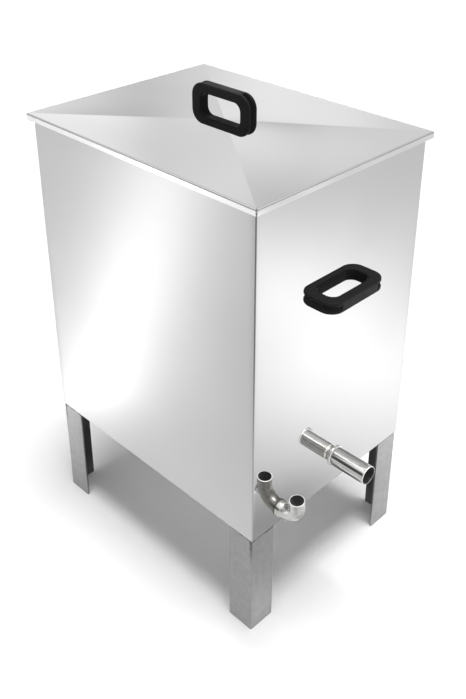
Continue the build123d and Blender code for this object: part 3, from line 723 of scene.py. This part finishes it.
# The ring handles: black moulded plastic, one on the lid and one on each end wall, with less sheen inside
# the ring as painted shade.
# The long sides are solid bars, and a groove runs round each short end between two rims. Bolts from behind
# the sheet hold them by the base bar.
def plastic_finish(name, sheen):
    """Moulded plastic: black, with the fine even grain of a sparked mould and slightly clouded gloss."""
    material, tree, shader, place, _ = new_finish(name)
    grain = add_node(tree, "ShaderNodeTexNoise", {"Vector": place, "Scale": 900.0, "Detail": 2.0})
    cloud = add_node(tree, "ShaderNodeTexNoise", {"Vector": place, "Scale": 45.0, "Detail": 2.0})
    colour = blend_colours(tree, cloud.outputs["Fac"], (0.007, 0.007, 0.007), (0.012, 0.012, 0.012))
    coat(tree, shader, colour, ramp(tree, cloud.outputs["Fac"], 0.3, 0.7, 0.42, 0.55), 0)
    shader.inputs["Specular IOR Level"].default_value = sheen
    emboss(tree, shader, grain.outputs["Fac"], 0.12, 0.0003)
    return material


half_long, half_tall, bar_end = 0.062, 0.033, 0.0397


def ring_handle():
    """A ring: at each place round it a section runs from the opening's edge to the outline, with rounded
    corners. Past the ends of the long bars the section's outer face is cut in by a groove. Points are (long,
    thick, up)."""
    shares = np.concatenate([[0.004, 0.012, 0.03], np.linspace(0.08, 0.92, 15), [0.97, 0.988, 0.996]])
    outline = rounded_rectangle(half_long, half_tall, 0.022, shares, 14)[0] + (0, half_tall)
    opening = rounded_rectangle(half_long - 0.019, half_tall - 0.014, 0.013, shares, 14)[0]
    opening = opening + (0, half_tall - 0.001)
    ray = outline - opening
    ray /= np.linalg.norm(ray, axis=1, keepdims=True)
    half, edge, rim_edge, deep = 0.009, 0.0017, 0.0045, 0.009
    turn = np.radians(np.linspace(0, 90, 5))
    ease_in, ease_up = edge - edge * np.cos(turn), half - edge + edge * np.sin(turn)
    groove_up = rim_edge + np.array([0.0006, 0.0001, 0])
    from_outline = np.repeat([False, True, False], [5, 16, 5])
    into = np.concatenate([ease_in, ease_in[::-1], np.zeros(6), ease_in, ease_in[::-1]])
    cut = np.concatenate([np.zeros(10), [0, 0.0003, deep, deep, 0.0003, 0], np.zeros(10)])
    thick = np.concatenate([ease_up, ease_up[::-1], groove_up, -groove_up[::-1], -ease_up, -ease_up[::-1]])
    at_end = np.clip((np.abs(outline[:, 0]) - bar_end) / 0.0003, 0, 1)
    step = (into[None] + cut[None] * at_end[:, None])[..., None] * ray[:, None]
    section = np.where(from_outline[None, :, None], outline[:, None] - step, opening[:, None] + step)
    return np.stack([section[..., 0], np.broadcast_to(thick, section.shape[:2]), section[..., 1]], -1)


handle_plastic = plastic_finish("handle_plastic", 0.09)
plastic_lining_painted_shade = plastic_finish("plastic_lining_painted_shade", 0.02)


def mount_handle(name, placed, body, node):
    """One handle from its placed points. The first five and the last five of each section lie round the
    opening and make a lining of less sheen, as painted shade; the others, with one of these at either end,
    make the outer faces."""
    make_piece(
        name,
        [skin(placed[:, 4:22], True)],
        handle_plastic,
        body,
        "handle_plastic",
        [node],
        lining=[skin(np.roll(placed, 5, 1)[:, :10], True)],
        lining_finish=plastic_lining_painted_shade,
    )


long, thick_way, up = np.moveaxis(ring_handle(), -1, 0)
for end, wall_x, way in (("left", left, -1), ("right", right, 1)):
    low, high = (np.array(corner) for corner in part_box(f"handle_{end}"))
    middle_y, middle_z = (low[1] + high[1]) / 2, (low[2] + high[2]) / 2
    placed = np.stack([wall_x + way * up, middle_y + way * long, middle_z + thick_way], -1)
    mount_handle(f"ring_handle_{end}", placed, "tank", f"handle_{end}")


# The handle bolts: hexagon bolts and wide washers in plain bright steel, behind the sheet at every handle.
# They stay as the solids make them.
fastener_steel = dull_sheet("fastener_steel", (200, 200, 200), 0.6, 0.32)
for bolts, washers in (
    ("handle_bolts_left", "handle_washers_left"),
    ("handle_bolts_right", "handle_washers_right"),
    ("lid_handle_bolts", "lid_handle_washers"),
):
    dress(fastener_steel, bolts, washers)
    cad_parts[bolts].visible_glossy = False


# The comb basket: perforated stainless sheet on corner angles, with a flat bar round its mouth and drilled
# lugs for the bails. It stays as the solids make it, with the satin finish of punched sheet.
basket_sheet = dull_sheet("basket_sheet", (6, 6, 500), 0.58, 0.42)
dress(basket_sheet, "basket_front", "basket_back", "basket_floor", "basket_rim")
for end in ("left", "right"):
    dress(basket_sheet, f"basket_{end}", f"bail_lugs_{end}")
    dress(basket_sheet, f"basket_post_front_{end}", f"basket_post_back_{end}")


# The bails: one length of stainless wire each, bent to hang inside the ends of the basket and swing up to
# lift it. Their ends turn out through the lugs.
def rounded_route(corners, radii, steps=8):
    """A flat route with rounded corners: each corner is replaced by an arc that touches both of its runs, at
    the radius times the tangent of half the turn from it."""
    corners = np.asarray(corners, float)
    before = corners[1:-1] - corners[:-2]
    after = corners[2:] - corners[1:-1]
    before /= np.linalg.norm(before, axis=1, keepdims=True)
    after /= np.linalg.norm(after, axis=1, keepdims=True)
    turn = np.arccos(np.clip((before * after).sum(1), -1, 1))
    radii = np.asarray(radii, float)
    inward = after - before
    inward /= np.linalg.norm(inward, axis=1, keepdims=True)
    centre = corners[1:-1] + inward * (radii / np.cos(turn / 2))[:, None]
    sweep = (np.linspace(-0.5, 0.5, steps + 1)[None] * turn[:, None])[..., None]
    bisector = (before + after) / np.linalg.norm(before + after, axis=1, keepdims=True)
    spokes = np.sin(sweep) * bisector[:, None] - np.cos(sweep) * inward[:, None]
    arcs = centre[:, None] + radii[:, None, None] * spokes
    return np.concatenate([corners[:1], arcs.reshape(-1, 2), corners[-1:]])


wire, drop, half_bail, lug_end = 0.003, 0.062, 0.05, 0.068
wire_steel = tube_finish("wire_steel", 0.5, (0, 0, -1), 0.0)
for end in ("left", "right"):
    low, high = (np.array(corner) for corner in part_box(f"bail_{end}"))
    hinge_x, hinge_z = (low[0] + high[0]) / 2, high[2] - wire
    one_half = [(lug_end, 0), (half_bail, 0), (half_bail, -drop)]
    corners = [(-across, rise) for across, rise in one_half] + one_half[::-1]
    route = rounded_route(corners, [0.006, 0.014, 0.014, 0.006])
    heading = np.gradient(route, axis=0)
    heading /= np.linalg.norm(heading, axis=1, keepdims=True)
    line = np.concatenate([route[:1], route[:1], route, route[-1:], route[-1:]])
    line[1, 0] += 0.0001
    line[-2, 0] -= 0.0001
    heading = np.concatenate([heading[:1], heading[:1], heading, heading[-1:], heading[-1:]])
    count = len(line)
    centre = np.stack([np.full(count, hinge_x), line[:, 0], hinge_z + line[:, 1]], -1)
    square = np.stack([np.zeros(count), -heading[:, 1], heading[:, 0]], -1)
    thick_wire = np.concatenate([[0, wire - 0.0003], np.full(count - 4, wire), [wire - 0.0003, 0]])
    bail = tube_skin(centre, np.tile((1.0, 0, 0), (count, 1)), square, thick_wire, 20)
    make_piece(f"bail_wire_{end}", [bail], wire_steel, f"bail_{end}", "basket_steel", [f"bail_{end}"])


# The lid: bright stainless sheet, cross-broken from corner to corner to stiffen it, with its edges bent down
# into flanges. The flanges are left open at the corners, and the lid just drops over the rolled rim.
low, high = (np.array(corner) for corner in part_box("lid_panel"))
lid_foot, lid_apex = low[2], high[2]
lid_half = (high[:2] - low[:2]) / 2
lid_sheet, lid_bend, lid_rise, slit, dish = 0.0012, 0.0028, 0.004, 0.0022, 0.0012
lid_edge = lid_apex - lid_rise
# The lid's flanges take the painted highlight of the bright sheet.
lid_steel = bright_sheet("lid_steel", (6, 900, 6), 0.495, 0.16, lid_edge - 0.002, lid_half[1])
spread = np.concatenate([[-1, -0.997, -0.985], np.linspace(-0.95, 0.95, 41), [0.985, 0.997, 1]])[None]
reach = np.concatenate([np.linspace(0, 0.96, 25), [0.985, 0.996, 1]])[:, None]
bend_turn = np.radians(np.linspace(0, 90, 8))[1:, None]
fall = np.linspace(0, 1, 5)[1:, None]


def lid_side(out_half, along_half, inset):
    """One side of the lid, as distances outwards, along and up: a facet that falls from the apex and dishes
    a little, a round bend, and a straight flange. The inset gives the underside: the same, one sheet
    thickness in."""
    top_out, top_along = out_half - lid_bend, along_half - lid_bend
    crown = dish * np.sin(np.pi * reach) * (1 - spread**2)
    top = (reach * top_out, reach * top_along * spread, lid_edge + lid_rise * (1 - reach) - crown - inset)
    radius = lid_bend - inset
    edge_half = top_along + (along_half - slit - top_along) * np.sin(bend_turn)
    bend_up = lid_edge - lid_bend + radius * np.cos(bend_turn)
    bent = (top_out + radius * np.sin(bend_turn), edge_half * spread, bend_up)
    ripple = 0.0002 * np.sin(9 * spread + 2) * fall
    hang = lid_edge - lid_bend + (lid_foot - lid_edge + lid_bend) * fall
    flange = (out_half - inset + ripple, (along_half - slit) * spread, hang)
    return np.concatenate(
        [np.stack(np.broadcast_arrays(*part, spread)[:3], -1) for part in (top, bent, flange)]
    )


lid_skins = []
for out_way, along_way, out_half, along_half in (
    ((1, 0), (0, 1), lid_half[0], lid_half[1]),
    ((0, 1), (-1, 0), lid_half[1], lid_half[0]),
    ((-1, 0), (0, -1), lid_half[0], lid_half[1]),
    ((0, -1), (1, 0), lid_half[1], lid_half[0]),
):
    turned = np.array([[*out_way, 0], [*along_way, 0], [0, 0, 1]], float)
    upper = lid_side(out_half, along_half, 0.0) @ turned + (tank_x, 0, 0)
    under = lid_side(out_half, along_half, lid_sheet) @ turned + (tank_x, 0, 0)
    first = len(reach) - 1
    lid_skins += [
        skin(upper),
        skin(under[:, ::-1]),
        skin(np.stack([upper[-1], under[-1]])),
        skin(np.stack([under[first:, 0], upper[first:, 0]])),
        skin(np.stack([upper[first:, -1], under[first:, -1]])),
    ]
make_piece("lid_sheet", lid_skins, lid_steel, "lid", "tank_steel", ["lid_panel"])

low, high = (np.array(corner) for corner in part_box("lid_handle"))
base, middle = high[2] - 2 * half_tall, (low + high) / 2
over_x, over_y = middle[0] - tank_x + long, middle[1] + thick_way
lid_top = lid_edge + lid_rise * (1 - np.maximum(np.abs(over_x) / lid_half[0], np.abs(over_y) / lid_half[1]))
placed = np.stack([tank_x + over_x, over_y, np.maximum(base + up, lid_top - dish)], -1)
mount_handle("ring_handle_lid", placed, "lid", "lid_handle")


# The floor: a plain matt white sheet that takes the tank's shadow.
# It is not part of the object.
def lay_plane(name, half, level):
    """A square sheet on the level, reaching the same distance from the middle each way."""
    mesh = bpy.data.meshes.new(name)
    corners = [(-half, -half, level), (half, -half, level), (half, half, level), (-half, half, level)]
    mesh.from_pydata(corners, [], [(0, 1, 2, 3)])
    plane = bpy.data.objects.new(name, mesh)
    bpy.context.scene.collection.objects.link(plane)
    return plane


floor = lay_plane("floor", 30, 0)
floor_paint, _, shader, _, _ = new_finish("floor_paint")
shader.inputs["Base Color"].default_value = (0.97, 0.97, 0.97, 1)
shader.inputs["Roughness"].default_value = 0.9
shader.inputs["Specular IOR Level"].default_value = 0.0
floor.data.materials.append(floor_paint)


# The surround: plain white to the camera, and light from low down all round for everything matt. Polished
# steel sees soft boxes in it instead: one behind the camera and one opposite, one at either hand that is
# brighter high up, and patches, bright or dark, where a lamp or a gap between the boxes would be.
def mix_values(tree, share, first, second):
    """The first value where share is 0 and the second where it is 1."""
    mix = add_node(tree, "ShaderNodeMix", {"Factor": share, "A": first, "B": second}, data_type="FLOAT")
    return mix.outputs["Result"]


world = bpy.data.worlds.new("surround")
world.use_nodes = True
bpy.context.scene.world = world
tree = world.node_tree
toward = add_node(tree, "ShaderNodeTexCoord").outputs["Generated"]
height = add_node(tree, "ShaderNodeSeparateXYZ", {"Vector": toward}).outputs["Z"]
in_view_line = size_of(tree, vector_node(tree, "DOT_PRODUCT", toward, (-0.707, 0.707, 0)))
ends = product(tree, ramp(tree, height, 0.2, 0.27, 1, 1.14), ramp(tree, height, 0.44, 0.6, 1, 0.4))
hands = product(tree, ramp(tree, height, 0.45, 0.72, 0.7, 1.6), ramp(tree, height, 0.9, 0.98, 1, 0.5))
boxes = mix_values(tree, ramp(tree, in_view_line, 0.45, 0.85, 0, 1), hands, ends)
# Each patch: degrees round from -X to +Y, degrees up, added strength, and degrees from middle to edge.
# The first six come again half a turn round.
patches = [
    (33, 22.5, 0.6, 6.5),
    (50, 17, 0.3, 6.5),
    (36, 15.5, -0.35, 6.5),
    (43, 27, 0.35, 4),
    (49, 26, -0.3, 3),
    (47.3, 21.5, 0.25, 3),
]
patches += [(azimuth + 180, *rest) for azimuth, *rest in patches]
patches += [(-62, 14, -0.6, 22), (-116, 10, -0.6, 22), (-143, 58, 6, 9)]
for azimuth, elevation, extra, wide in patches:
    az, el = np.radians((azimuth, elevation))
    heading = (-np.cos(az) * np.cos(el), np.sin(az) * np.cos(el), np.sin(el))
    near = vector_node(tree, "DOT_PRODUCT", toward, heading)
    edge, core = np.cos(np.radians((wide, wide * 0.3)))
    boxes = math_node(tree, "ADD", boxes, ramp(tree, near, edge, core, 0, extra))
rays = add_node(tree, "ShaderNodeLightPath").outputs
mirrored = math_node(tree, "MAXIMUM", rays["Is Glossy Ray"], rays["Is Transmission Ray"])
low_fill = ramp(tree, height, 0.25, 0.45, 1.4, 0.1)
strength = mix_values(tree, mirrored, low_fill, boxes)
backdrop = mix_values(tree, rays["Is Camera Ray"], strength, 1.0)
tree.links.new(backdrop, tree.nodes["Background"].inputs["Strength"])
tree.nodes["Background"].inputs["Color"].default_value = (1, 1, 1, 1)


# The overhead lamp: one wide soft light almost straight above, which gives the shadow under the tank.
# It leans a little towards the outlet end.
soft = bpy.data.lights.new("overhead", "SUN")
soft.energy, soft.angle = 2.72, np.radians(21)
overhead = bpy.data.objects.new("overhead", soft)
overhead.rotation_euler = (np.radians(1), np.radians(7), 0)
bpy.context.scene.collection.objects.link(overhead)


# The cards: a sheet just over the floor that only reflections see, for what polished steel shows of the
# floor. It lets the floor through, adds a few soft glowing white bands as painted pools of light, and veils
# it with grey as painted shade off the outlet end and before the near corner, and as the tank's painted
# shadow under the tank.
cards = lay_plane("cards", 4, 0.001)
cards.visible_camera = cards.visible_diffuse = cards.visible_shadow = cards.visible_transmission = False
card_paint, tree, _, place, stretched = new_finish("card_paint", (1.6, 0.45, 1))


def measure(origin, way):
    """How far a place lies from an origin along a direction."""
    from_origin = vector_node(tree, "SUBTRACT", place, (*origin, 0))
    return vector_node(tree, "DOT_PRODUCT", from_origin, (*way, 0))


def glow(strength):
    """A white card of a given strength."""
    return add_node(tree, "ShaderNodeEmission", {"Color": (1, 1, 1, 1), "Strength": strength}).outputs[0]


def bright_band(start, end, width, brightness):
    """A soft white band along a line: brightness / (1 + (d / width)^2)^2 at a distance d from the line."""
    start, end = np.array(start), np.array(end)
    length = np.linalg.norm(end - start)
    way = (end - start) / length
    along, aside = measure(start, way), measure(start, (-way[1], way[0]))
    past = math_node(tree, "MAXIMUM", math_node(tree, "SUBTRACT", along, length), product(tree, along, -1.0))
    past = math_node(tree, "MAXIMUM", past, 0.0)
    square = math_node(tree, "ADD", math_node(tree, "POWER", past, 2.0), product(tree, aside, aside))
    fall = math_node(tree, "ADD", math_node(tree, "DIVIDE", square, width**2), 1.0)
    return math_node(tree, "DIVIDE", brightness, math_node(tree, "POWER", fall, 2.0))


# Painted light: glowing white bands on the card stand for pools of light on the floor.
bands = 0.0
for start, end, width, brightness in (
    ((-0.493, -0.431), (-2.048, -2.142), 0.155, 1.8),
    ((0.623, 0.538), (0.94, 0.7), 0.474, 1.16),
    ((0.262, -0.15), (0.3, -0.09), 0.05, 0.5),
    ((0.28, 0.2), (0.33, 0.28), 0.05, 0.3),
):
    bands = math_node(tree, "ADD", bands, bright_band(start, end, width, brightness))

# Painted shade: the grey veils darken what the steel shows off the outlet end and before the near corner.
near_corner = (right, front)
ahead, aside = measure(near_corner, (0.707, -0.707)), measure(near_corner, (0.707, 0.707))
from_end = vector_node(tree, "DISTANCE", stretched, (0.592, -0.005, 0))
from_foot = vector_node(tree, "DISTANCE", place, (0.355, -0.05, 0))
past_leg = ramp(tree, measure((0, 0), (1, 0)), 0.285, 0.345, 0, 1)
strip = size_of(tree, math_node(tree, "ADD", aside, 0.1))
grey = ramp(tree, from_end, 0.03, 0.19, 0.95, 0)
for veil in (
    product(tree, ramp(tree, from_foot, 0.1, 0.45, 0.3, 0), past_leg),
    product(tree, ramp(tree, ahead, -0.12, 0.2, 0, 1), ramp(tree, aside, -0.5, -0.25, 0.22, 0)),
    product(tree, ramp(tree, ahead, 0.05, 0.3, 0, 0.5), ramp(tree, strip, 0.08, 0.3, 1, 0)),
):
    grey = math_node(tree, "MAXIMUM", grey, veil)
clear = add_node(tree, "ShaderNodeBsdfTransparent").outputs[0]
grey_card = glow(ramp(tree, ahead, 0.2, 0.7, 0.25, 0.1))
veiled = add_node(tree, "ShaderNodeMixShader", {0: grey, 1: clear, 2: grey_card}).outputs[0]
lit = add_node(tree, "ShaderNodeAddShader", {0: veiled, 1: glow(bands)}).outputs[0]
# Painted shadow: under the tank the card glows only faintly, as the tank's shadow.
apart = add_node(tree, "ShaderNodeSeparateXYZ", {"Vector": place}).outputs
from_x = size_of(tree, math_node(tree, "SUBTRACT", apart["X"], tank_x))
under_length = ramp(tree, from_x, half_length - 0.06, half_length, 1, 0)
under_width = ramp(tree, size_of(tree, apart["Y"]), half_width - 0.06, half_width, 1, 0)
under_tank = product(tree, under_length, under_width)
whole = add_node(tree, "ShaderNodeMixShader", {0: under_tank, 1: lit, 2: glow(0.04)})
tree.links.new(whole.outputs[0], tree.nodes["Material Output"].inputs["Surface"])
cards.data.materials.append(card_paint)


# The camera: at the photograph's viewing angle, above the corner between the plain side and the outlet end.
# It tilts down, and the frame slides down a little to hold the whole tank.
lens = bpy.data.cameras.new("photo_view")
lens.lens, lens.shift_y = 46.35, -0.17
camera = bpy.data.objects.new("photo_view", lens)
camera.location = (0.9315, -0.9437, 1.2695)
camera.rotation_euler = (np.pi / 2 - 0.468, 0, 0.785)
bpy.context.scene.collection.objects.link(camera)
bpy.context.scene.camera = camera
bpy.context.scene.view_settings.view_transform = "Standard"
